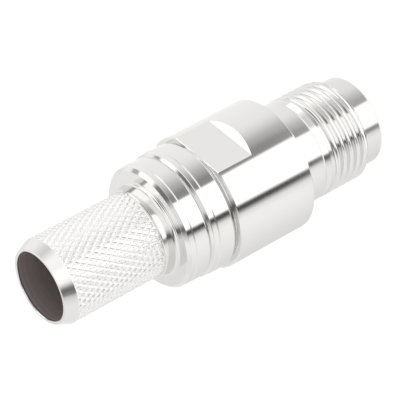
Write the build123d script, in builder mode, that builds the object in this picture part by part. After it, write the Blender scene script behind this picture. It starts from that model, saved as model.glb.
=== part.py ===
"""Straight TNC jack for a crimped 10.3 mm coaxial cable, standing on its mating face."""

import os
from math import radians, tan

from build123d import *

# All sizes are in millimetres. Z runs up from the mating face to the cable end.

# The whole connector; the knurled sleeve takes what the other lengths leave
overall_length = 40.5

# Jack body, outside
barrel_od = 9.65
barrel_length = 2.4
barrel_wall = 0.765
thread_od = 11.11
thread_length = 6.1
thread_lead_in = 0.35
thread_relief_od = 10.7
thread_relief_width = 0.25
neck_od = 11.06
neck_length = 2.6
body_od = 14.4
body_length = 9.75
body_front_bevel = 0.2
body_rear_bevel = 0.12
mouth_bevel = 0.2

# Wrench flats: two opposite pockets, each with a lip behind it and a ramp in front
flats_across = 12.8
flat_length = 4.05
flat_ramp_angle = 55
lip_width = 0.25
cutter_overrun = 1.0

# Jack body, inside
plug_depth = 8.4
contact_ring_bore = 6.5
contact_ring_length = 0.5
insulator_bore = 7.5
counterbore = 10.0

# Crimp body: spigot and seam
spigot_length = 5.5
spigot_lead_in = 0.3
seam_groove_od = 12.72
seam_groove_width = 0.45

# Crimp body: the two rings, each with a front bevel, a land, a fine step, a band and a rear bevel
large_ring_od = 13.66
large_front_bevel = 0.35
large_land = 1.63
large_rear_bevel = 0.25
small_ring_od = 13.24
small_front_bevel = 0.2
small_land = 1.65
small_rear_bevel = 0.33
ring_step = 0.06
ring_band = 0.6
ring_gap = 0.07
ring_gap_od = 12.7

# Crimp body: collar, knurled sleeve and nose
collar_od = 9.74
collar_length = 1.52
collar_bevel = 0.08
collar_root_bevel = 0.3
sleeve_od = 9.2
nose_length = 1.25
nose_wall = 0.305
cable_bore = 7.45
cable_bore_depth = 17.0
cable_mouth_bevel = 0.06
chamber_bore = 7.0

# Insulators
insulator_nose_od = 4.72
insulator_nose_recess = 3.3
insulator_nose_bevel = 0.2
insulator_flange_length = 3.5
rear_insulator_length = 1.6

# Centre contact
contact_recess = 3.45
socket_od = 2.1
socket_closing = 0.07
socket_bore = 1.36
socket_depth = 5.2
slot_width = 0.25
slot_length = 3.6
slot_count = 4
waist_od = 3.2
locating_flange_od = 3.9
locating_flange_length = 0.5
pot_od = 3.5
pot_length = 6.4
pot_bore = 2.8
pot_depth = 5.4
inspection_hole = 0.9
inspection_hole_height = 1.1
drill_point_angle = 59

# Fits: radial gaps between round faces that sit in each other
press_gap = 0.015
slide_gap = 0.02

# Heights of the stations along the axis
thread_start = barrel_length
thread_end = thread_start + thread_length
neck_start = thread_end + thread_relief_width
body_start = neck_start + neck_length
seam = body_start + body_length
flat_rear = seam - lip_width
flat_front = flat_rear - flat_length
contact_ring_back = plug_depth + contact_ring_length
insulator_back = contact_ring_back + insulator_flange_length
spigot_end = seam - spigot_length
shelf = spigot_end - rear_insulator_length
large_ring_start = seam + seam_groove_width
large_ring_end = large_ring_start + large_front_bevel + large_land + ring_band + large_rear_bevel
small_ring_start = large_ring_end + ring_gap
small_ring_end = small_ring_start + small_front_bevel + small_land + ring_band + small_rear_bevel
knurl_start = small_ring_end + collar_length
cable_end = overall_length
nose_start = cable_end - nose_length
cable_stop = cable_end - cable_bore_depth
pot_start = spigot_end + locating_flange_length
pot_end = pot_start + pot_length
pot_floor = pot_end - pot_depth
socket_floor = contact_recess + socket_depth

# Radii, and the bevel of the mating face, which its wall limits
thread_radius = thread_od / 2
plug_radius = barrel_od / 2 - barrel_wall
mating_bevel = min(mouth_bevel, barrel_wall / 3)
body_radius = body_od / 2
flat_radius = flats_across / 2
spigot_radius = counterbore / 2 - press_gap
waist_hole_radius = waist_od / 2 + slide_gap
socket_hole_radius = socket_od / 2 + slide_gap


def ring_outline(start, radius, front_bevel, land, rear_bevel):
    """Points up the outside of one ring, from its front bevel to its rear bevel."""
    land_start = start + front_bevel
    band_start = land_start + land
    bevel_start = band_start + ring_band
    band_radius = radius - ring_step
    return [
        (radius - front_bevel, start),
        (radius, land_start),
        (radius, band_start),
        (band_radius, band_start),
        (band_radius, bevel_start),
        (band_radius - rear_bevel, bevel_start + rear_bevel),
    ]


os.makedirs("parts", exist_ok=True)

# Jack body: one turning, with the wrench flats milled into it
with BuildPart() as jack_body:
    with BuildSketch(Plane.XZ):
        with BuildLine():
            Polyline(
                (barrel_od / 2, 0),
                (barrel_od / 2, thread_start),
                (thread_radius - thread_lead_in, thread_start),
                (thread_radius, thread_start + thread_lead_in),
                (thread_radius, thread_end),
                (thread_relief_od / 2, thread_end),
                (thread_relief_od / 2, neck_start),
                (neck_od / 2, neck_start),
                (neck_od / 2, body_start),
                (body_radius - body_front_bevel, body_start),
                (body_radius, body_start + body_front_bevel),
                (body_radius, seam - body_rear_bevel),
                (body_radius - body_rear_bevel, seam),
                (counterbore / 2, seam),
                (counterbore / 2, shelf),
                (insulator_bore / 2, shelf),
                (insulator_bore / 2, contact_ring_back),
                (contact_ring_bore / 2, contact_ring_back),
                (contact_ring_bore / 2, plug_depth),
                (plug_radius, plug_depth),
                (plug_radius, 0),
                close=True,
            )
        make_face()
    revolve(axis=Axis.Z)
    # Both edges of the mating face are broken
    chamfer(jack_body.faces().sort_by(Axis.Z)[0].edges(), length=mating_bevel)
    # Each flat ends in a square wall at its lip and in a ramp towards the neck
    pocket_reach = body_radius + cutter_overrun
    ramp_run = (pocket_reach - flat_radius) / tan(radians(flat_ramp_angle))
    with BuildSketch(Plane.YZ):
        with BuildLine():
            Polyline(
                (flat_radius, flat_rear),
                (flat_radius, flat_front),
                (pocket_reach, flat_front - ramp_run),
                (pocket_reach, flat_rear),
                close=True,
            )
        make_face()
        mirror(about=Plane.YZ)
    extrude(amount=body_radius, both=True, mode=Mode.SUBTRACT)
jack_body.part.label = "jack_body"
export_step(jack_body.part, "parts/jack_body.step")

# Crimp body: one turning, pressed into the jack body by its spigot
with BuildPart() as crimp_body:
    with BuildSketch(Plane.XZ):
        with BuildLine():
            Polyline(
                (chamber_bore / 2, spigot_end),
                (spigot_radius - spigot_lead_in, spigot_end),
                (spigot_radius, spigot_end + spigot_lead_in),
                (spigot_radius, seam),
                (seam_groove_od / 2, seam),
                (seam_groove_od / 2, large_ring_start),
                *ring_outline(
                    large_ring_start, large_ring_od / 2, large_front_bevel, large_land, large_rear_bevel
                ),
                (ring_gap_od / 2, large_ring_end),
                (ring_gap_od / 2, small_ring_start),
                *ring_outline(
                    small_ring_start, small_ring_od / 2, small_front_bevel, small_land, small_rear_bevel
                ),
                (collar_od / 2 + collar_root_bevel, small_ring_end),
                (collar_od / 2, small_ring_end + collar_root_bevel),
                (collar_od / 2, knurl_start - collar_bevel),
                (collar_od / 2 - collar_bevel, knurl_start),
                (sleeve_od / 2, knurl_start),
                (sleeve_od / 2, nose_start),
                (cable_bore / 2 + nose_wall, cable_end),
                (cable_bore / 2, cable_end),
                (cable_bore / 2, cable_stop),
                (chamber_bore / 2, cable_stop),
                close=True,
            )
        make_face()
    revolve(axis=Axis.Z)
    # The mouth of the cable bore is deburred
    cable_mouth = crimp_body.faces().sort_by(Axis.Z)[-1].edges().sort_by(SortBy.RADIUS)[0]
    chamfer(cable_mouth, length=cable_mouth_bevel)
crimp_body.part.label = "crimp_body"
export_step(crimp_body.part, "parts/crimp_body.step")

# Front insulator: its nose stands in the plug cavity, its flange behind the contact ring
with BuildPart() as front_insulator:
    with BuildSketch(Plane.XZ):
        with BuildLine():
            Polyline(
                (socket_hole_radius, insulator_nose_recess),
                (insulator_nose_od / 2 - insulator_nose_bevel, insulator_nose_recess),
                (insulator_nose_od / 2, insulator_nose_recess + insulator_nose_bevel),
                (insulator_nose_od / 2, plug_depth),
                (contact_ring_bore / 2 - press_gap, plug_depth),
                (contact_ring_bore / 2 - press_gap, contact_ring_back),
                (insulator_bore / 2 - press_gap, contact_ring_back),
                (insulator_bore / 2 - press_gap, insulator_back),
                (socket_hole_radius, insulator_back),
                close=True,
            )
        make_face()
    revolve(axis=Axis.Z)
front_insulator.part.label = "front_insulator"
export_step(front_insulator.part, "parts/front_insulator.step")

# Rear insulator: a washer between the shelf and the spigot
with BuildPart() as rear_insulator:
    with BuildSketch(Plane.XY.offset(shelf)):
        Circle(radius=counterbore / 2 - press_gap)
        Circle(radius=waist_hole_radius, mode=Mode.SUBTRACT)
    extrude(amount=rear_insulator_length)
rear_insulator.part.label = "rear_insulator"
export_step(rear_insulator.part, "parts/rear_insulator.step")

# Centre contact: spring socket in front, crimp pot behind
with BuildPart() as centre_contact:
    drill_slope = tan(radians(90 - drill_point_angle))
    with BuildSketch(Plane.XZ):
        with BuildLine():
            Polyline(
                (0, socket_floor + drill_slope * socket_bore / 2),
                (socket_bore / 2, socket_floor),
                (socket_bore / 2, contact_recess),
                (socket_od / 2 - socket_closing, contact_recess),
                (socket_od / 2, contact_recess + slot_length),
                (socket_od / 2, insulator_back),
                (waist_od / 2, insulator_back),
                (waist_od / 2, spigot_end),
                (locating_flange_od / 2, spigot_end),
                (locating_flange_od / 2, pot_start),
                (pot_od / 2, pot_start),
                (pot_od / 2, pot_end),
                (pot_bore / 2, pot_end),
                (pot_bore / 2, pot_floor),
                (0, pot_floor - drill_slope * pot_bore / 2),
                close=True,
            )
        make_face()
    revolve(axis=Axis.Z)
    # Slots divide the socket into spring fingers
    with BuildSketch(Plane.XY.offset(contact_recess)):
        with PolarLocations(radius=socket_od / 2, count=slot_count):
            Rectangle(socket_od, slot_width)
    extrude(amount=slot_length, mode=Mode.SUBTRACT)
    # The inspection hole shows that the conductor has reached the floor of the pot
    with BuildSketch(Plane.YZ):
        with Locations((0, pot_floor + inspection_hole_height)):
            Circle(radius=inspection_hole / 2)
    extrude(amount=pot_od / 2, mode=Mode.SUBTRACT)
centre_contact.part.label = "centre_contact"
export_step(centre_contact.part, "parts/centre_contact.step")
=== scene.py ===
"""Looks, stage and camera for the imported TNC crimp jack.

Lengths named in capitals are in mm, and become metres when a mesh or the camera is made."""

import math

import bpy
import numpy as np
from bpy.props import FloatProperty, FloatVectorProperty, IntProperty, PointerProperty
from bpy.types import Operator, Panel, PropertyGroup
from mathutils import Matrix, Vector


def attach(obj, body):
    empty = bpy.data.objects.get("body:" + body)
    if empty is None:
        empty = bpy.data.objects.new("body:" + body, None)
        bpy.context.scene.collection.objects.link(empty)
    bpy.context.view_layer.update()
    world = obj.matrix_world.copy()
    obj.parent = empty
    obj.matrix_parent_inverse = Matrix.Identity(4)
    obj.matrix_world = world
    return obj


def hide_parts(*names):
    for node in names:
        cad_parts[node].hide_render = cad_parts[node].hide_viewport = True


bl_info = {
    "name": "TNC crimp jack",
    "version": (1, 0, 0),
    "blender": (4, 5, 0),
    "location": "3D View > Sidebar > Crimp jack",
    "description": "Dresses the packed connector: thread, knurl, plating, insulators and a white stage",
    "category": "Object",
}

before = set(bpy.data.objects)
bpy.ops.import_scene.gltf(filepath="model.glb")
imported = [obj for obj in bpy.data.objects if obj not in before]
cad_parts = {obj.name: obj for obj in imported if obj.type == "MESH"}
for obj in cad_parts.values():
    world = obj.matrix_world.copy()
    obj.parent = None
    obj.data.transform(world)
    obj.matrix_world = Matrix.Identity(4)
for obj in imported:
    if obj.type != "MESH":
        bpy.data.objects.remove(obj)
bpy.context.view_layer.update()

MM = 0.001

# Outside of the jack body: radii and heights above the mating face, as the solids have them
BARREL_R = 4.825
BARREL_END = 2.4
MATING_BEVEL = 0.2
THREAD_R = 5.555
THREAD_LEAD_IN = 0.35
THREAD_START = BARREL_END + THREAD_LEAD_IN
NECK_R = 5.53
BODY_R = 7.2
BODY_START = 11.35
BODY_FRONT_BEVEL = 0.2
BODY_REAR_BEVEL = 0.12
BODY_WALL_START = BODY_START + 0.3
SEAM = 21.1
FLAT_R = 6.4
FLAT_FRONT = 16.8
FLAT_RAMP = math.radians(55)

# Where the photo shows more than the solids: the last turns slope into the neck, and the flats run out at
# the seam
THREAD_END = 7.6
RUNOUT_R = THREAD_R - 0.03
RELIEF_R = 5.42
RELIEF_END = 8.3
NECK_START = 8.5
FLAT_BEVEL = 0.05

# Bores of the jack body
PLUG_R = 4.06
PLUG_DEPTH = 8.4
CONTACT_RING_R = 3.25
CONTACT_RING_BACK = 8.9
INSULATOR_BORE_R = 3.75
SHELF = 14.0
COUNTERBORE_R = 5.0

# Crimp body: spigot, bores, collar, knurled sleeve and nose
CHAMBER_R = 3.5
SPIGOT_R = 4.985
SPIGOT_END = 15.6
SPIGOT_LEAD_IN = 0.3
CABLE_BORE_R = 3.725
CABLE_STOP = 23.5
RING_END = 27.23
ROOT_RADIUS = 0.5
WAIST_R = 4.83
WAIST_END = 28.1
WAIST_CURVE = 10
COLLAR_R = 4.87
COLLAR_BEVEL = 0.08
SLEEVE_R = 4.6
KNURL_START = 28.75
NOSE_START = 39.25
NOSE_END_R = 4.03
CABLE_END = 40.5
MOUTH_BEVEL = 0.06
BRIGHT_MOUTH_END = 40.3

# Stepped rings, from the seam to the collar: radius, height and, where it has one, the corner's own rounding
SEAM_GROOVE = ((6.46, SEAM, 0), (6.46, 21.2, 0.01))
LARGE_RING = (
    (6.5, 21.2, 0.02), (6.83, 21.68, 0.2), (6.83, 23.42), (6.77, 23.53), (6.77, 24.13, 0.12), (6.52, 24.38),
)
RING_GAP = ((6.43, 24.4, 0.02), (6.43, 24.44, 0.02))
SMALL_RING = ((6.45, 24.45), (6.62, 24.65, 0.2), (6.62, 26.2), (6.56, 26.3), (6.56, 26.9), (6.23, RING_END))

# Where the first thread groove and one pit of the knurl lie: an angle round the axis and a height
THREAD_MARK = (math.radians(252), 4.43)
KNURL_MARK = (math.radians(255.2), 38.3)

# Faces round the jack body, rings on the thread's lead-in, and faces across each diamond of the knurl
BODY_SIDES = 256
LEAD_IN_RINGS = 9
KNURL_STEPS = 10

# Corners of faces are one point of the mesh when they agree to a ten-thousandth of a mm
WELDS_PER_MM = 1e4


def linear(hex_colour):
    """An sRGB hex colour as linear red, green, blue and alpha."""
    parts = [int(hex_colour[i : i + 2], 16) / 255 for i in (1, 3, 5)]
    return tuple(p / 12.92 if p <= 0.04045 else ((p + 0.055) / 1.055) ** 2.4 for p in parts) + (1.0,)


class ConnectorSizes(PropertyGroup):
    """Sizes of the fine details that the visual model adds to the solids."""

    thread_pitch: FloatProperty(
        name="Thread pitch", description="Distance from one turn of the coupling thread to the next",
        default=0.907 * MM, min=0.4 * MM, max=2 * MM, precision=6, subtype="DISTANCE", unit="LENGTH",
    )
    thread_depth: FloatProperty(
        name="Thread depth", description="Depth of the thread's grooves below the crests",
        default=0.45 * MM, min=0.05 * MM, max=0.5 * MM, precision=6, subtype="DISTANCE", unit="LENGTH",
    )
    knurl_cells: IntProperty(
        name="Knurl cells", description="Diamonds round the sleeve", default=38, min=12, max=60,
    )
    knurl_cell_length: FloatProperty(
        name="Knurl cell length", description="Length of one diamond along the axis",
        default=1.13 * MM, min=0.4 * MM, max=3 * MM, precision=6, subtype="DISTANCE", unit="LENGTH",
    )
    knurl_depth: FloatProperty(
        name="Knurl depth", description="Depth of the knurl's grooves below the diamonds",
        default=0.1 * MM, min=0.02 * MM, max=0.3 * MM, precision=6, subtype="DISTANCE", unit="LENGTH",
    )
    edge_radius: FloatProperty(
        name="Edge radius", description="Rounding that plating and deburring leave on the turned edges",
        default=0.04 * MM, min=0.005 * MM, max=0.07 * MM, precision=6, subtype="DISTANCE", unit="LENGTH",
    )


class ConnectorFinishes(PropertyGroup):
    """Colours of the finishes and of the stage's floor."""

    plating: FloatVectorProperty(
        name="Plating", description="Colour of the white bronze plating outside",
        default=linear("#E7E6E5"), size=4, min=0, max=1, subtype="COLOR",
    )
    knurling: FloatVectorProperty(
        name="Knurling", description="Colour of the softer plating on the knurled sleeve",
        default=linear("#F6F5F4"), size=4, min=0, max=1, subtype="COLOR",
    )
    # The bore's colour is darker than the outside's, partly for thin plating and partly as painted shade in
    # the deep holes
    bore: FloatVectorProperty(
        name="Bore", description="Colour of the thin plating inside the bores",
        default=linear("#B5AAA8"), size=4, min=0, max=1, subtype="COLOR",
    )
    insulator: FloatVectorProperty(
        name="Insulator", description="Colour of the PTFE",
        default=linear("#F1F0EB"), size=4, min=0, max=1, subtype="COLOR",
    )
    gold: FloatVectorProperty(
        name="Gold", description="Colour of the gold on the centre contact",
        default=linear("#F6D58C"), size=4, min=0, max=1, subtype="COLOR",
    )
    floor: FloatVectorProperty(
        name="Floor", description="Colour of the stage's floor",
        default=linear("#F4F4F4"), size=4, min=0, max=1, subtype="COLOR",
    )


def around(angles, radius, height):
    """Points round the axis at each angle. Radius and height are numbers, or have a value for each angle."""
    return np.stack([radius * np.cos(angles), radius * np.sin(angles), height + 0 * angles], axis=1)


def onward(ring):
    """The ring's values moved on by one, so that each angle has the value of the next one."""
    return np.roll(ring, -1, axis=0)


def surface_ring(angles, heights, radius_at):
    """Points and true normals of one ring on a surface whose radius is a function of angle and height."""
    step = 1e-4
    radius = radius_at(angles, heights)
    by_angle = (radius_at(angles + step, heights) - radius_at(angles - step, heights)) / (2 * step)
    by_height = (radius_at(angles, heights + step) - radius_at(angles, heights - step)) / (2 * step)
    along = np.stack([-np.sin(angles), np.cos(angles), 0 * angles], axis=1)
    up = np.array([0, 0, 1.0])
    normals = around(angles, 1, 0) - along * (by_angle / radius)[:, None] - up * by_height[:, None]
    return around(angles, radius, heights), normals / np.linalg.norm(normals, axis=1)[:, None]


def outline(corners, edge_radius):
    """Rounds the corners of an open outline. Gives stations (point, normal before, normal after).

    Each corner is (radius, height) and may have its own rounding as a third number. The metal is on the
    outline's left as it goes up the outside and down the inside."""
    most_of_run, least_turn, fine_from = 0.45, 0.01, 0.1
    points = [np.array(c[:2], float) for c in corners]
    runs = [b - a for a, b in zip(points, points[1:])]
    lengths = [np.linalg.norm(run) for run in runs]
    runs = [run / length for run, length in zip(runs, lengths)]
    normals = [np.array([run[1], -run[0]]) for run in runs]
    stations = [(points[0], normals[0], normals[0])]
    for i in range(1, len(points) - 1):
        before, after = normals[i - 1], normals[i]
        into, on = runs[i - 1], runs[i]
        turn = math.atan2(into[0] * on[1] - into[1] * on[0], float(into @ on))
        wanted = corners[i][2] if len(corners[i]) > 2 else edge_radius
        # A rounding takes less than half of the shorter run beside it, so two never meet
        room = most_of_run * min(lengths[i - 1], lengths[i])
        radius = min(wanted, room / math.tan(abs(turn) / 2)) if abs(turn) > least_turn else 0
        if radius <= 0:
            stations.append((points[i], before, after))
            continue
        side = 1 if turn > 0 else -1
        start = points[i] - into * radius * math.tan(abs(turn) / 2)
        centre = start - side * radius * before
        # Large roundings are seen as curves, so they have finer steps
        steps = max(2, round(abs(turn) / math.radians(10 if radius > fine_from else 30)))
        for k in range(steps + 1):
            angle = math.atan2(before[1], before[0]) + turn * k / steps
            normal = np.array([math.cos(angle), math.sin(angle)])
            stations.append((centre + side * radius * normal, normal, normal))
    stations.append((points[-1], normals[-1], normals[-1]))
    return stations


class Turning:
    """Gathers faces round the axis and makes one mesh of them, with the true normal at each corner."""

    def __init__(self, angles):
        self.angles = angles
        self.corners, self.normals, self.finishes = [], [], []

    def quads(self, corners, normals, finish=0):
        """Adds faces. Corners and normals are arrays of (face, corner, xyz), anticlockwise from outside."""
        self.corners.append(corners)
        self.normals.append(normals)
        self.finishes.append(np.full(len(corners), finish))

    def band(self, lower, upper, lower_normals, upper_normals, finish=0):
        """Adds the faces between two rings of points that have the same angles."""
        self.quads(
            np.stack([lower, onward(lower), onward(upper), upper], axis=1),
            np.stack([lower_normals, onward(lower_normals), onward(upper_normals), upper_normals], axis=1),
            finish,
        )

    def turned(self, corners, edge_radius, finish=0):
        """Adds the surface that an outline sweeps round the axis."""
        stations = outline(corners, edge_radius)
        for (low, _, after), (high, before, _) in zip(stations, stations[1:]):
            self.band(
                around(self.angles, low[0], low[1]), around(self.angles, high[0], high[1]),
                around(self.angles, after[0], after[1]), around(self.angles, before[0], before[1]), finish,
            )

    def relief(self, heights, radius_at, finish=0):
        """Adds a surface whose radius is a function of angle and height, with a ring at each height."""
        rings = [surface_ring(self.angles, height + 0 * self.angles, radius_at) for height in heights]
        for (lower, lower_normals), (upper, upper_normals) in zip(rings, rings[1:]):
            self.band(lower, upper, lower_normals, upper_normals, finish)

    def make(self, name, materials):
        """Makes the object, in metres, with one material for each finish."""
        corners = np.concatenate(self.corners)
        normals = np.concatenate(self.normals)
        finishes = np.concatenate(self.finishes)
        keys = np.round(corners.reshape(-1, 3) * WELDS_PER_MM).astype(np.int64)
        keys, place = np.unique(keys, axis=0, return_inverse=True)
        place = place.reshape(-1, 4)
        points = np.zeros((len(keys), 3))
        points[place.ravel()] = corners.reshape(-1, 3)
        faces, face_normals, face_finishes = [], [], []
        for face, normal, finish in zip(place.tolist(), normals, finishes.tolist()):
            kept = [k for k in range(4) if face[k] != face[k - 1]]
            if len(kept) > 2 and len({face[k] for k in kept}) == len(kept):
                faces.append([face[k] for k in kept])
                face_normals.append(normal[kept])
                face_finishes.append(finish)
        mesh = bpy.data.meshes.new(name)
        mesh.from_pydata((points * MM).tolist(), [], faces)
        for material in materials:
            mesh.materials.append(material)
        mesh.polygons.foreach_set("material_index", face_finishes)
        mesh.shade_smooth()
        mesh.normals_split_custom_set(np.concatenate(face_normals).tolist())
        mesh.update()
        piece = bpy.data.objects.new(name, mesh)
        bpy.context.scene.collection.objects.link(piece)
        return piece


def add_node(tree, kind, values=None, links=None, stops=None, **settings):
    """Adds a node with its settings, socket values, incoming links and, on a ramp, its stops.

    A link comes from a socket, or from a node's first output."""
    node = tree.nodes.new(kind)
    for name, value in settings.items():
        setattr(node, name, value)
    for key, value in (values or {}).items():
        node.inputs[key].default_value = value
    for key, source in (links or {}).items():
        output = source.outputs[0] if isinstance(source, bpy.types.Node) else source
        tree.links.new(output, node.inputs[key])
    if stops:
        elements = node.color_ramp.elements
        while len(elements) < len(stops):
            elements.new(1.0)
        for element, (position, colour) in zip(elements, stops):
            element.position, element.color = position, colour
    return node


def new_material(name):
    """Gives a new material, its empty tree, and the object's coordinates in mm."""
    material = bpy.data.materials.new(name)
    material.use_nodes = True
    tree = material.node_tree
    tree.nodes.clear()
    place = add_node(tree, "ShaderNodeTexCoord").outputs["Object"]
    in_mm = add_node(
        tree, "ShaderNodeVectorMath", {1: (1 / MM, 1 / MM, 1 / MM)}, {0: place}, operation="MULTIPLY",
    )
    return material, tree, in_mm.outputs[0]


def finish_material(tree, shader):
    """Links a shader to the material's output."""
    add_node(tree, "ShaderNodeOutputMaterial", links={"Surface": shader})


def white_bronze_on_turned_brass():
    """White bronze plating over turned brass: a bright, nearly neutral metal that mirrors the studio's cards,
    stretched softly along the turning marks."""
    material, tree, place = new_material("white_bronze_plating_on_turned_brass")
    axis = add_node(tree, "ShaderNodeSeparateXYZ", links={0: place}).outputs["Z"]
    # Turning marks are 0.05 mm apart on the real part, and drawn 0.3 mm apart: finer ones fall between pixels
    marks = add_node(
        tree, "ShaderNodeTexNoise", {"Scale": 3.3, "Detail": 2.0, "Roughness": 0.6}, {"W": axis},
        noise_dimensions="1D",
    )
    # The plating's thickness drifts over 4 mm, which shows as a breath of warmth
    drift = add_node(tree, "ShaderNodeTexNoise", {"Scale": 0.25, "Detail": 1.0}, {"Vector": place})
    plating = tuple(bpy.context.scene.connector_finishes.plating)
    warmer = (plating[0], plating[1] * 0.998, plating[2] * 0.985, 1.0)
    colour = add_node(tree, "ShaderNodeValToRGB", links={0: drift}, stops=[(0.35, plating), (0.7, warmer)])
    roughness = add_node(tree, "ShaderNodeMapRange", {"To Min": 0.06, "To Max": 0.1}, {"Value": marks})
    # The marks are a micrometre deep
    bump = add_node(tree, "ShaderNodeBump", {"Strength": 0.5, "Distance": 0.000001}, {"Height": marks})
    tangent = add_node(tree, "ShaderNodeTangent", direction_type="RADIAL", axis="Z")
    shader = add_node(
        tree, "ShaderNodeBsdfPrincipled", {"Metallic": 1.0, "Anisotropic": 0.5},
        {"Base Color": colour, "Roughness": roughness, "Normal": bump, "Tangent": tangent},
    )
    finish_material(tree, shader)
    return material


def white_bronze_on_knurled_brass():
    """White bronze plating over rolled knurling: the same metal, paler and softer, because the wheel leaves a
    fine uneven skin."""
    material, tree, place = new_material("white_bronze_plating_on_knurled_brass")
    # The rolled skin is uneven at 0.2 to 0.5 mm, so the grain is about 0.33 mm wide
    grain = add_node(tree, "ShaderNodeTexNoise", {"Scale": 3.0, "Detail": 3.0}, {"Vector": place})
    knurling = tuple(bpy.context.scene.connector_finishes.knurling)
    darker = tuple(c * 0.96 for c in knurling[:3]) + (1.0,)
    colour = add_node(tree, "ShaderNodeValToRGB", links={0: grain}, stops=[(0.3, darker), (0.6, knurling)])
    roughness = add_node(tree, "ShaderNodeMapRange", {"To Min": 0.2, "To Max": 0.3}, {"Value": grain})
    shader = add_node(
        tree, "ShaderNodeBsdfPrincipled", {"Metallic": 0.72}, {"Base Color": colour, "Roughness": roughness},
    )
    finish_material(tree, shader)
    return material


def thin_plating_with_painted_shade_in_bore():
    """Plating thins out inside a deep bored hole: duller, browner and rougher than outside. The colour is
    also darker as painted shade for the deep hole.
    """
    material, tree, place = new_material("thin_plating_with_painted_shade_in_bored_hole")
    axis = add_node(tree, "ShaderNodeSeparateXYZ", links={0: place}).outputs["Z"]
    # Boring marks are 0.1 mm apart and drawn 0.25 mm apart: finer ones fall between pixels
    marks = add_node(
        tree, "ShaderNodeTexNoise", {"Scale": 4.0, "Detail": 2.0}, {"W": axis}, noise_dimensions="1D",
    )
    # The colour is darker partly for the thin plating and partly as painted shade deep in the hole
    bore = tuple(bpy.context.scene.connector_finishes.bore)
    darker = tuple(c * 0.85 for c in bore[:3]) + (1.0,)
    colour = add_node(tree, "ShaderNodeValToRGB", links={0: marks}, stops=[(0.3, darker), (0.7, bore)])
    roughness = add_node(tree, "ShaderNodeMapRange", {"To Min": 0.32, "To Max": 0.45}, {"Value": marks})
    shader = add_node(
        tree, "ShaderNodeBsdfPrincipled", {"Metallic": 0.6}, {"Base Color": colour, "Roughness": roughness},
    )
    finish_material(tree, shader)
    return material


def turned_ptfe():
    """Turned PTFE: milky white and waxy, because light goes a little way into it."""
    material, tree, place = new_material("turned_ptfe")
    # Lathe marks on PTFE are about 0.15 mm apart, in rings round the axis
    across = add_node(tree, "ShaderNodeVectorMath", {1: (1, 1, 0)}, {0: place}, operation="MULTIPLY")
    radius = add_node(tree, "ShaderNodeVectorMath", links={0: across}, operation="LENGTH").outputs["Value"]
    marks = add_node(
        tree, "ShaderNodeTexNoise", {"Scale": 6.5, "Detail": 1.0}, {"W": radius}, noise_dimensions="1D",
    )
    white = tuple(bpy.context.scene.connector_finishes.insulator)
    milky = tuple(c * 0.95 for c in white[:3]) + (1.0,)
    colour = add_node(tree, "ShaderNodeValToRGB", links={0: marks}, stops=[(0.3, milky), (0.7, white)])
    roughness = add_node(tree, "ShaderNodeMapRange", {"To Min": 0.38, "To Max": 0.5}, {"Value": marks})
    shader = add_node(
        tree, "ShaderNodeBsdfPrincipled",
        {
            "IOR": 1.35, "Subsurface Weight": 0.25, "Subsurface Radius": (1.0, 0.95, 0.9),
            "Subsurface Scale": 0.6 * MM,
        },
        {"Base Color": colour, "Roughness": roughness},
    )
    finish_material(tree, shader)
    return material


def gold_on_beryllium_copper():
    """Hard gold plating over turned beryllium copper: warm, bright, with fine turning marks."""
    material, tree, place = new_material("hard_gold_plating_on_beryllium_copper")
    axis = add_node(tree, "ShaderNodeSeparateXYZ", links={0: place}).outputs["Z"]
    # Turning marks are 0.05 mm apart here too, and drawn 0.125 mm apart: finer ones fall between pixels
    marks = add_node(
        tree, "ShaderNodeTexNoise", {"Scale": 8.0, "Detail": 2.0}, {"W": axis}, noise_dimensions="1D",
    )
    gold = tuple(bpy.context.scene.connector_finishes.gold)
    deeper = (gold[0] * 0.95, gold[1] * 0.92, gold[2] * 0.85, 1.0)
    colour = add_node(tree, "ShaderNodeValToRGB", links={0: marks}, stops=[(0.3, deeper), (0.7, gold)])
    roughness = add_node(tree, "ShaderNodeMapRange", {"To Min": 0.16, "To Max": 0.26}, {"Value": marks})
    shader = add_node(
        tree, "ShaderNodeBsdfPrincipled", {"Metallic": 1.0}, {"Base Color": colour, "Roughness": roughness},
    )
    finish_material(tree, shader)
    return material


# The two sides of a thread groove: places from its centre, as shares of its half width, and the slope at each
# of them, as a share of the flank's. Towards the cable the groove runs out in a shallow bevel, which catches
# the light, and towards the mating end in a short curve
CABLE_SIDE = ((0, 0.15, 0.6, 0.8, 1.55, 1.7), (0, 1, 1, 0.35, 0.25, 0))
MATING_SIDE = ((0, 0.15, 0.9, 1.1), (0, 1, 1, 0))
GROOVE_PLACES = np.linspace(0, 1.7, 341)
# The flank's angle to the radius, and the area under the mating side's slopes, which sets how wide that makes
# a groove
FLANK_ANGLE = math.radians(30)
MATING_SIDE_SUM = 0.925
# Where the mesh has rows across each groove, in half widths, and one more on the crest behind it, in pitches
GROOVE_ROWS = np.array(
    [-1.1, -1, -0.9, -0.5, -0.15, -0.07, 0, 0.07, 0.15, 0.6, 0.7, 0.8, 1.15, 1.55, 1.62, 1.7]
)
CREST_ROW = 0.59
# The tool comes out over this length before the thread's end, and leaves this share of the groove
GROOVE_RUNOUT = 1.0
LEAST_SHARE = 0.05


def groove_side(side):
    """How deep one side of a groove is at each of the places: 1 at its centre, 0 at its edge."""
    slope = np.interp(GROOVE_PLACES, *side)
    return 1 - np.cumsum(slope) / slope.sum()


def groove_share(heights):
    """How deep the tool has cut at each height, as a share of the whole groove."""
    share = np.clip((THREAD_END - heights) / GROOVE_RUNOUT, LEAST_SHARE, 1)
    return share * share * (3 - 2 * share)


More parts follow.
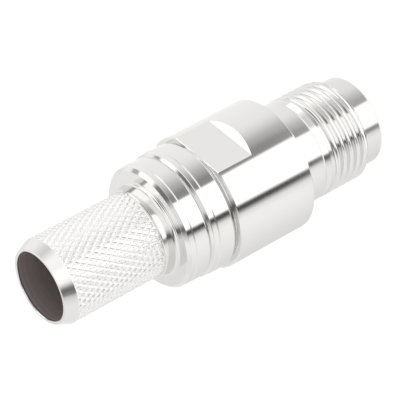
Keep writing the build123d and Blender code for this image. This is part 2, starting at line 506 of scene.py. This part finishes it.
class CRIMPJACK_OT_jack_body(Operator):
    """Make the jack body: barrel, coupling thread, neck, body with two wrench flats, and the bores inside"""

    bl_idname = "crimpjack.jack_body"
    bl_label = "Jack body"

    def execute(self, context):
        sizes = context.scene.connector_sizes
        edge = sizes.edge_radius / MM
        # The bores' finish, whose darker colour is partly painted shade, by its place in the piece's list of
        # materials. The outside has the first
        bored = 1
        body = Turning(self.angles())
        body.turned(
            [
                (PLUG_R + MATING_BEVEL, 0), (BARREL_R - MATING_BEVEL, 0), (BARREL_R, MATING_BEVEL),
                (BARREL_R, BARREL_END, 0.1), (THREAD_R - THREAD_LEAD_IN, BARREL_END),
            ],
            edge,
        )
        self.thread(body, sizes.thread_pitch / MM, sizes.thread_depth / MM)
        body.turned(
            [
                (RUNOUT_R, THREAD_END), (RELIEF_R, RELIEF_END, 0.02), (NECK_R, NECK_START),
                (NECK_R, BODY_START, 0.06), (BODY_R - BODY_FRONT_BEVEL, BODY_START),
                (BODY_R, BODY_START + BODY_FRONT_BEVEL), (BODY_R, BODY_WALL_START),
            ],
            edge,
        )
        self.wall_with_flats(body)
        body.turned(
            [
                (COUNTERBORE_R, SEAM), (COUNTERBORE_R, SHELF), (INSULATOR_BORE_R, SHELF),
                (INSULATOR_BORE_R, CONTACT_RING_BACK), (CONTACT_RING_R, CONTACT_RING_BACK),
                (CONTACT_RING_R, PLUG_DEPTH), (PLUG_R, PLUG_DEPTH), (PLUG_R, MATING_BEVEL),
                (PLUG_R + MATING_BEVEL, 0),
            ],
            edge, bored,
        )
        piece = body.make("jack_body_turned", [white_bronze_on_turned_brass(), thin_plating_with_painted_shade_in_bore()])
        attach(piece, "root")
        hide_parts("jack_body")
        return {"FINISHED"}

    def angles(self):
        """Even steps round the axis, with the nearest one moved onto each edge of the wrench flats."""
        angles = 2 * np.pi * np.arange(BODY_SIDES) / BODY_SIDES
        for flat in (np.pi / 2, 3 * np.pi / 2):
            for corner in (1, -1):
                edge_angle = flat + corner * math.acos(FLAT_R / BODY_R)
                angles[np.argmin(abs(angles - edge_angle))] = edge_angle
        return angles

    def thread(self, body, pitch, depth):
        """Adds the thread: a plain lead-in, rows that follow the grooves, and the end of the last turn."""
        angles = body.angles
        half_width = depth * math.tan(FLANK_ANGLE) / MATING_SIDE_SUM
        cable_side, mating_side = groove_side(CABLE_SIDE), groove_side(MATING_SIDE)
        # A groove's first edge stays with its groove in spite of rounding
        rounding_guard = 0.02

        def thread_radius(angles, heights):
            turns = (heights - THREAD_MARK[1]) / pitch - (angles - THREAD_MARK[0]) / (2 * np.pi)
            past_mating_side = turns + MATING_SIDE[0][-1] * half_width / pitch
            away = (turns - np.floor(past_mating_side + rounding_guard)) * pitch
            share = groove_share(heights)
            place = away / (half_width * share)
            cut = np.where(
                away > 0,
                np.interp(place, GROOVE_PLACES, cable_side), np.interp(-place, GROOVE_PLACES, mating_side),
            )
            lead_in = THREAD_R - np.clip(THREAD_START - heights, 0, 1)
            return np.minimum(lead_in, THREAD_R - cut * depth * share)

        body.relief(np.linspace(BARREL_END, THREAD_START, LEAD_IN_RINGS), thread_radius)
        # The rows climb with the thread. They go on past both of its ends, which cut them off square
        turn = (angles - THREAD_MARK[0]) / (2 * np.pi)
        first = math.floor((THREAD_START - THREAD_MARK[1]) / pitch) - 2
        last = math.ceil((THREAD_END - THREAD_MARK[1]) / pitch) + 3
        rows = []
        for k in range(first, last):
            centre = THREAD_MARK[1] + pitch * (k + turn)
            rows += [centre + place * half_width * groove_share(centre) for place in GROOVE_ROWS]
            rows.append(centre + pitch * CREST_ROW)
        # One more column of points closes the rows: there each one joins the first column a turn further on
        rows_per_turn = len(GROOVE_ROWS) + 1
        heights = np.array(rows)
        past_end = np.full((rows_per_turn, 1), THREAD_END + 1.0)
        last_column = np.vstack([heights[rows_per_turn:, :1], past_end])
        closed = np.append(angles, angles[0] + 2 * np.pi)
        grid = np.clip(np.hstack([heights, last_column]), THREAD_START, THREAD_END)
        rings = [surface_ring(closed, row, thread_radius) for row in grid]
        for (low, low_normals), (high, high_normals) in zip(rings, rings[1:]):
            body.quads(
                np.stack([low[:-1], low[1:], high[1:], high[:-1]], axis=1),
                np.stack([low_normals[:-1], low_normals[1:], high_normals[1:], high_normals[:-1]], axis=1),
            )
        thread_rim = around(angles, thread_radius(angles, THREAD_END + 0 * angles), THREAD_END)
        up = around(angles, 0, 1)
        body.band(thread_rim, around(angles, RUNOUT_R, THREAD_END), up, up)

    def wall_with_flats(self, body):
        """Adds the body's wall with its two wrench flats, each with a ramp in front and open at the seam."""
        angles = body.angles
        reach = BODY_R * abs(np.sin(angles))
        # An angle on a flat's very edge counts as turned, and the least sine only keeps clear of nought
        cut = reach > FLAT_R + 1e-6
        least_sine = 0.5
        ramp_edge = FLAT_FRONT - np.where(cut, reach - FLAT_R, 0) / math.tan(FLAT_RAMP)
        flat_radius = np.where(cut, FLAT_R / np.maximum(abs(np.sin(angles)), least_sine), BODY_R)
        rim = np.where(cut, flat_radius * (FLAT_R - FLAT_BEVEL) / FLAT_R, BODY_R - BODY_REAR_BEVEL)
        bevel_start = SEAM - np.where(cut, FLAT_BEVEL, BODY_REAR_BEVEL)
        rings = [
            around(angles, BODY_R, BODY_WALL_START), around(angles, BODY_R, ramp_edge),
            around(angles, flat_radius, FLAT_FRONT), around(angles, flat_radius, bevel_start),
            around(angles, rim, SEAM), around(angles, COUNTERBORE_R, SEAM),
        ]
        side = np.sign(np.sin(angles))
        nothing = 0 * angles
        ramp = np.stack([nothing, side * math.cos(FLAT_RAMP), nothing + math.sin(FLAT_RAMP)], axis=1)
        flat = np.stack([nothing, side, nothing], axis=1)
        wall, end = around(angles, 1, 0), around(angles, 0, 1)
        bevel, flat_bevel = (wall + end) * math.sqrt(0.5), (flat + end) * math.sqrt(0.5)
        # The normals between each two rings, first where the wall is turned and then where it is milled
        surfaces = [(wall, None), (wall, ramp), (wall, flat), (bevel, flat_bevel), (end, None)]
        in_flat = (cut | onward(cut))[:, None, None]
        for lower, upper, (turned, milled) in zip(rings, rings[1:], surfaces):
            normals = np.stack([turned, onward(turned), onward(turned), turned], axis=1)
            if milled is not None:
                at_side = np.where(cut[:, None], milled, onward(milled))
                normals = np.where(in_flat, at_side[:, None, :], normals)
            body.quads(np.stack([lower, onward(lower), onward(upper), upper], axis=1), normals)


class CRIMPJACK_OT_crimp_body(Operator):
    """Make the crimp body: spigot, two stepped rings, collar, knurled sleeve, coned nose and cable bore"""

    bl_idname = "crimpjack.crimp_body"
    bl_label = "Crimp body"

    def execute(self, context):
        sizes = context.scene.connector_sizes
        cells, cell = sizes.knurl_cells, sizes.knurl_cell_length / MM
        depth, edge = sizes.knurl_depth / MM, sizes.edge_radius / MM
        # Finishes, by their places in the piece's list of materials. The turned outside has the first
        knurled, bored = 1, 2
        sides = cells * KNURL_STEPS
        body = Turning(KNURL_MARK[0] + 2 * np.pi * np.arange(sides) / sides)
        # Half of a groove's width as a share of the diamonds' spacing, and the run-out at both ends in mm
        groove_half_width, runout_length = 0.3, 0.15

        def knurl_radius(angles, heights):
            round_cells = (angles - KNURL_MARK[0]) * cells / (2 * np.pi)
            along_cells = (heights - KNURL_MARK[1]) / cell
            cut = 0 * heights
            for lines in (round_cells + along_cells, round_cells - along_cells):
                away = abs(lines - np.round(lines)) / groove_half_width
                share = np.clip(1 - away, 0, 1)
                cut = np.maximum(cut, share * share * (3 - 2 * share))
            from_end = np.minimum(heights - KNURL_START, NOSE_START - heights)
            return SLEEVE_R - depth * cut * np.clip(from_end / runout_length, 0, 1)

        body.turned(
            [
                (CHAMBER_R, SPIGOT_END), (SPIGOT_R - SPIGOT_LEAD_IN, SPIGOT_END),
                (SPIGOT_R, SPIGOT_END + SPIGOT_LEAD_IN), (SPIGOT_R, SEAM, 0),
                *SEAM_GROOVE, *LARGE_RING, *RING_GAP, *SMALL_RING,
                (WAIST_R, RING_END, ROOT_RADIUS), (WAIST_R, WAIST_END, WAIST_CURVE),
                (COLLAR_R, KNURL_START - COLLAR_BEVEL), (COLLAR_R - COLLAR_BEVEL, KNURL_START),
                (SLEEVE_R, KNURL_START),
            ],
            edge,
        )
        # The rings of the sleeve stand in step with the diamonds, and none comes close to its ends
        steps_per_mm, least_gap = KNURL_STEPS / cell, 0.2
        first = math.ceil((KNURL_START - KNURL_MARK[1]) * steps_per_mm + least_gap)
        last = math.floor((NOSE_START - KNURL_MARK[1]) * steps_per_mm - least_gap)
        heights = [KNURL_MARK[1] + cell * k / KNURL_STEPS for k in range(first, last + 1)]
        body.relief([KNURL_START, *heights, NOSE_START], knurl_radius, knurled)
        # The bright plating of the outside reaches a little way into the cable bore; deeper in, the bore's
        # colour is darker with painted shade
        body.turned(
            [
                (SLEEVE_R, NOSE_START), (NOSE_END_R, CABLE_END, 0.03),
                (CABLE_BORE_R + MOUTH_BEVEL, CABLE_END), (CABLE_BORE_R, CABLE_END - MOUTH_BEVEL),
                (CABLE_BORE_R, BRIGHT_MOUTH_END),
            ],
            edge,
        )
        body.turned(
            [
                (CABLE_BORE_R, BRIGHT_MOUTH_END), (CABLE_BORE_R, CABLE_STOP), (CHAMBER_R, CABLE_STOP),
                (CHAMBER_R, SPIGOT_END),
            ],
            edge, bored,
        )
        piece = body.make(
            "crimp_body_turned",
            [white_bronze_on_turned_brass(), white_bronze_on_knurled_brass(), thin_plating_with_painted_shade_in_bore()],
        )
        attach(piece, "root")
        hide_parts("crimp_body")
        return {"FINISHED"}


class CRIMPJACK_OT_insulators(Operator):
    """Give both insulators their PTFE finish"""

    bl_idname = "crimpjack.insulators"
    bl_label = "Insulators"

    def execute(self, context):
        ptfe = turned_ptfe()
        for node in ("front_insulator", "rear_insulator"):
            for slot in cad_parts[node].material_slots:
                slot.material = ptfe
        return {"FINISHED"}


class CRIMPJACK_OT_centre_contact(Operator):
    """Give the centre contact its gold plating"""

    bl_idname = "crimpjack.centre_contact"
    bl_label = "Centre contact"

    def execute(self, context):
        gold = gold_on_beryllium_copper()
        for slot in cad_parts["centre_contact"].material_slots:
            slot.material = gold
        return {"FINISHED"}


# The studio's light cards, which only glossy surfaces show: the sides from and to which a card reaches, in
# degrees from the camera's side, and its level. Between two cards the light fades from one to the other
LOW_CARDS = [
    (-180, -110, 1.03), (-80, -80, 1.0), (-70, -70, 0.92), (-60, -60, 0.77), (-50, -50, 0.57),
    (-40, -40, 0.43), (-33, -22, 0.3), (-18, 34, 1.5), (39, 44.5, 0.07), (53, 53, 0.92), (62, 75, 1.07),
    (90, 90, 1.016), (120, 120, 0.9), (140, 140, 0.84), (160, 180, 0.77),
]
SIDE_CARDS = [
    (-180, -150, 0.92), (-125, -104, 0.93), (-98, -78, 1.6), (-66, -66, 1.2), (-52, -52, 0.8),
    (-40, -28, 0.78), (-16, 34, 1.5), (41, 47, 0.15), (56, 56, 0.8), (66, 80, 1.0), (110, 140, 0.95),
    (180, 180, 0.92),
]
LEVEL_CARDS = [
    (-180, -150, 0.92), (-135, -109, 1.05), (-75, -75, 0.76), (-48, -30, 1.17), (-14, -14, 0.82),
    (0, 15, 0.86), (24, 24, 0.79), (34, 34, 0.49), (43, 52, 0.165), (60, 60, 0.7), (70, 70, 0.89),
    (85, 110, 0.98), (140, 140, 0.94), (180, 180, 0.92),
]
MIDDLE_CARDS = [
    (-180, -129, 0.98), (-124, -114, 0.48), (-109, -66, 1.5), (-55, -55, 1.1), (-44, -22, 1.15),
    (-10, 10, 1.3), (22, 22, 1.1), (32, 32, 0.48), (36, 44, 0.15), (50, 50, 0.61), (62, 72, 1.0),
    (90, 117, 0.92), (180, 180, 0.88),
]
HIGH_CARDS = [
    (-180, -145, 0.98), (-134, -84, 1.4), (-77, -77, 0.55), (-72, -72, 0.26), (-52, -40, 0.19),
    (-27, -27, 0.5), (-14, 14, 0.9), (27, 27, 0.83), (34, 34, 0.44), (39, 46, 0.18), (57, 57, 0.64),
    (72, 89, 1.07), (180, 180, 0.98),
]
# Plain layers: the connector's soft shade on the table near it, the white paper under it, a card overhead
NEAR_SHADE = [(-180, 180, 0.8)]
STEEP_PAPER = [(-180, 180, 1.4)]
TOP_CARD = [(-180, 180, 1.4)]
# What lies over the low cards, each layer over the ones before it: its cards, the two elevations in degrees
# between which its share changes, and its share below and above them
CARD_LAYERS = (
    (NEAR_SHADE, -32.1, -31.3, 0.35, 0),
    (STEEP_PAPER, -66, -50, 1, 0),
    (SIDE_CARDS, -26, -20, 0, 1),
    (LEVEL_CARDS, -13, -6, 0, 1),
    (MIDDLE_CARDS, 18, 24, 0, 1),
    (HIGH_CARDS, 34, 48, 0, 1),
    (TOP_CARD, 65, 75, 0, 1),
)
CARD_PEAK = 1.6
# The camera's side of the connector, the side that the low cards close in on, and the slope of the look down
# at which their own sides hold
CAMERA_SIDE = math.radians(230.2)
STRIP_SIDE = math.radians(12)
TABLE_SLOPE = math.tan(math.radians(30.9))
# The low cards don't get narrower where the look is more level than this
LEAST_DROP = 0.3

# The floor's reach to each side, the grey of its paper, and how much of its colour it gives off by itself
FLOOR_REACH = 1500
PAPER_GREY = 0.4
FLOOR_GLOW = 0.76

# The camera that was fitted to the photograph's outline and ring edges
CAMERA_PLACE = Vector((-132.7707, -159.4699, 135.1687))
CAMERA_AIM = Vector((0.1044, 0.0117, 20.3872))
CAMERA_ROLL = math.radians(-118.2349)
CAMERA_LENS = 212.765


def card_stops(cards):
    """A row of cards as the stops of a ramp that goes once round the horizon."""
    stops = []
    for start, end, level in cards:
        grey = (level / CARD_PEAK,) * 3 + (1.0,)
        stops += [((side + 180) / 360, grey) for side in sorted({start, end})]
    return stops


class CRIMPJACK_OT_stage(Operator):
    """Make the white floor, the studio's light and the camera"""

    bl_idname = "crimpjack.stage"
    bl_label = "Stage"

    def execute(self, context):
        self.floor(context)
        self.light(context)
        self.camera(context)
        return {"FINISHED"}

    def floor(self, context):
        """A plain white floor, which keeps the connector's shadow. The metal mirrors the cards instead."""
        mesh = bpy.data.meshes.new("floor")
        reach = FLOOR_REACH * MM
        corners = [(-reach, -reach, 0), (reach, -reach, 0), (reach, reach, 0), (-reach, reach, 0)]
        mesh.from_pydata(corners, [], [(0, 1, 2, 3)])
        floor = bpy.data.objects.new("floor", mesh)
        context.scene.collection.objects.link(floor)
        material, tree, _ = new_material("white_paper_sweep")
        white = tuple(context.scene.connector_finishes.floor)
        paper = add_node(tree, "ShaderNodeBsdfDiffuse", {"Color": (PAPER_GREY,) * 3 + (1.0,)})
        glow = add_node(tree, "ShaderNodeEmission", {"Color": white, "Strength": FLOOR_GLOW})
        both = add_node(tree, "ShaderNodeAddShader", links={0: paper, 1: glow})
        finish_material(tree, both)
        mesh.materials.append(material)
        floor.visible_glossy = False

    def light(self, context):
        """White all round for the camera and for matt surfaces, and the studio's cards for the metal."""
        world = bpy.data.worlds.new("white_studio")
        context.scene.world = world
        world.use_nodes = True
        # The cards are large, so the world needs no map of where its light comes from
        world.cycles.sampling_method = "NONE"
        tree = world.node_tree
        tree.nodes.clear()
        way = add_node(tree, "ShaderNodeTexCoord").outputs["Generated"]
        x, y, up = add_node(tree, "ShaderNodeSeparateXYZ", links={0: way}).outputs
        angle = add_node(tree, "ShaderNodeMath", links={0: y, 1: x}, operation="ARCTAN2")
        azimuth = add_node(tree, "ShaderNodeMath", {0: CAMERA_SIDE}, {1: angle}, operation="SUBTRACT")
        # The low cards lie side by side on the table, so they look narrower where the look is more level
        off_strip = add_node(tree, "ShaderNodeMath", {1: STRIP_SIDE}, {0: azimuth}, operation="SUBTRACT")
        across = add_node(tree, "ShaderNodeMath", links={0: off_strip}, operation="SINE")
        away = add_node(tree, "ShaderNodeMath", links={0: off_strip}, operation="COSINE")
        level_way = add_node(tree, "ShaderNodeVectorMath", {1: (1, 1, 0)}, {0: way}, operation="MULTIPLY")
        level_length = add_node(tree, "ShaderNodeVectorMath", links={0: level_way}, operation="LENGTH")
        drop = add_node(tree, "ShaderNodeMath", {1: -1.0}, {0: up}, operation="MULTIPLY")
        below = add_node(tree, "ShaderNodeMath", {1: LEAST_DROP}, {0: drop}, operation="MAXIMUM")
        out = add_node(
            tree, "ShaderNodeMath", links={0: level_length.outputs["Value"], 1: below}, operation="DIVIDE",
        )
        widening = add_node(tree, "ShaderNodeMath", {1: TABLE_SLOPE}, {0: out}, operation="MULTIPLY")
        widened = add_node(tree, "ShaderNodeMath", links={0: across, 1: widening}, operation="MULTIPLY")
        on_table = add_node(tree, "ShaderNodeMath", links={0: widened, 1: away}, operation="ARCTAN2")
        table_side = add_node(tree, "ShaderNodeMath", {1: STRIP_SIDE}, {0: on_table}, operation="ADD")
        places = []
        for side in (table_side, azimuth):
            share = add_node(
                tree, "ShaderNodeMath", {1: 1 / (2 * math.pi), 2: 0.5}, {0: side}, operation="MULTIPLY_ADD",
            )
            places.append(add_node(tree, "ShaderNodeMath", links={0: share}, operation="FRACT"))
        table_place, place = places
        studio = add_node(tree, "ShaderNodeValToRGB", links={0: table_place}, stops=card_stops(LOW_CARDS))
        for cards, low, high, share_below, share_above in CARD_LAYERS:
            row = add_node(tree, "ShaderNodeValToRGB", links={0: place}, stops=card_stops(cards))
            share = add_node(
                tree, "ShaderNodeMapRange",
                {
                    "From Min": math.sin(math.radians(low)), "From Max": math.sin(math.radians(high)),
                    "To Min": share_below, "To Max": share_above,
                },
                {"Value": up}, interpolation_type="SMOOTHSTEP",
            )
            layered = add_node(tree, "ShaderNodeMix", links={0: share, 6: studio, 7: row}, data_type="RGBA")
            studio = layered.outputs[2]
        rays = add_node(tree, "ShaderNodeLightPath")
        cards_light = add_node(tree, "ShaderNodeBackground", {"Strength": CARD_PEAK}, {"Color": studio})
        white_light = add_node(tree, "ShaderNodeBackground", {"Color": (1, 1, 1, 1), "Strength": 1.0})
        seen = add_node(
            tree, "ShaderNodeMixShader",
            links={0: rays.outputs["Is Glossy Ray"], 1: white_light, 2: cards_light},
        )
        add_node(tree, "ShaderNodeOutputWorld", links={"Surface": seen})

    def camera(self, context):
        """The photograph's view: from the cable end and above, rolled so that the connector lies across."""
        data = bpy.data.cameras.new("camera")
        data.lens, data.sensor_width = CAMERA_LENS, 36
        data.clip_start, data.clip_end = 0.01, 10
        camera = bpy.data.objects.new("camera", data)
        context.scene.collection.objects.link(camera)
        place, aim = CAMERA_PLACE * MM, CAMERA_AIM * MM
        look = (aim - place).to_track_quat("-Z", "Y").to_matrix().to_4x4()
        camera.matrix_world = Matrix.Translation(place) @ look @ Matrix.Rotation(CAMERA_ROLL, 4, "Z")
        context.scene.camera = camera
        context.scene.view_settings.view_transform = "Standard"


class CRIMPJACK_PT_panel(Panel):
    """The connector's pieces, sizes and finishes"""

    bl_label = "Crimp jack"
    bl_idname = "CRIMPJACK_PT_panel"
    bl_space_type = "VIEW_3D"
    bl_region_type = "UI"
    bl_category = "Crimp jack"

    def draw(self, context):
        layout = self.layout
        for group in (context.scene.connector_sizes, context.scene.connector_finishes):
            box = layout.box()
            for name in group.__annotations__:
                box.prop(group, name)
        for operator in PIECES:
            layout.operator(operator.bl_idname)


PIECES = (
    CRIMPJACK_OT_jack_body,
    CRIMPJACK_OT_crimp_body,
    CRIMPJACK_OT_insulators,
    CRIMPJACK_OT_centre_contact,
    CRIMPJACK_OT_stage,
)
CLASSES = (ConnectorSizes, ConnectorFinishes, *PIECES, CRIMPJACK_PT_panel)


def register():
    for cls in CLASSES:
        bpy.utils.register_class(cls)
    bpy.types.Scene.connector_sizes = PointerProperty(type=ConnectorSizes)
    bpy.types.Scene.connector_finishes = PointerProperty(type=ConnectorFinishes)


def unregister():
    del bpy.types.Scene.connector_finishes
    del bpy.types.Scene.connector_sizes
    for cls in reversed(CLASSES):
        bpy.utils.unregister_class(cls)


def main():
    register()
    bpy.ops.crimpjack.jack_body()
    bpy.ops.crimpjack.crimp_body()
    bpy.ops.crimpjack.insulators()
    bpy.ops.crimpjack.centre_contact()
    bpy.ops.crimpjack.stage()


if __name__ == "__main__":
    main()
